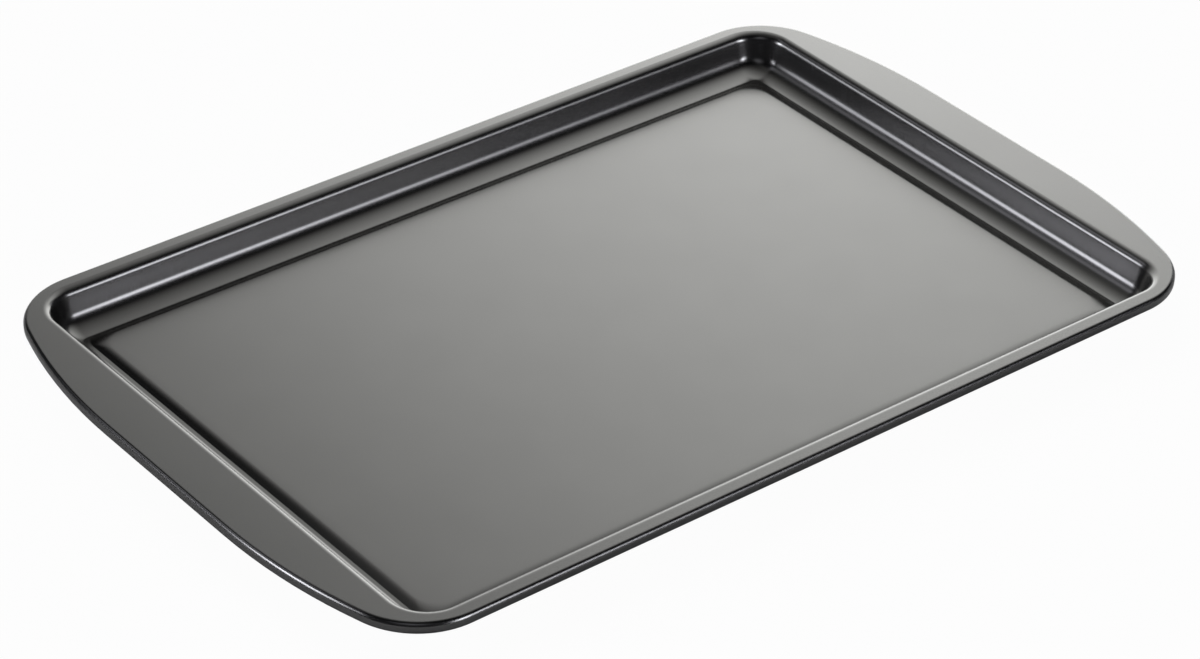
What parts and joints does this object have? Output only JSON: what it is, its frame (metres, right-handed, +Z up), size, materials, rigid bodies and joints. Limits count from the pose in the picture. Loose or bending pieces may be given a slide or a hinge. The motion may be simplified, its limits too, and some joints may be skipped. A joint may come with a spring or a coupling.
{
  "type": "cookie sheet",
  "caption": "Shallow rimmed steel baking tray with a raised flat panel, a gutter, sloped walls, bowed handle flanges at its short ends and an edge curled round a hidden wire.",
  "frame": {"origin": "under the middle of the tray, on the surface that it stands on", "axes": "+X along the tray from one handle end to the other, +Y across it, +Z up out of the baking surface"},
  "size_m": [0.44, 0.28, 0.0167],
  "materials": {
    "coated_steel": "satin charcoal non-stick coating with a fine metallic fleck, baked on pressed sheet steel",
    "wire_steel": "bare drawn steel wire"
  },
  "bodies": {
    "root": {"pressed_tray": "coated_steel", "rim_wire": "wire_steel"}
  },
  "joints": []
}
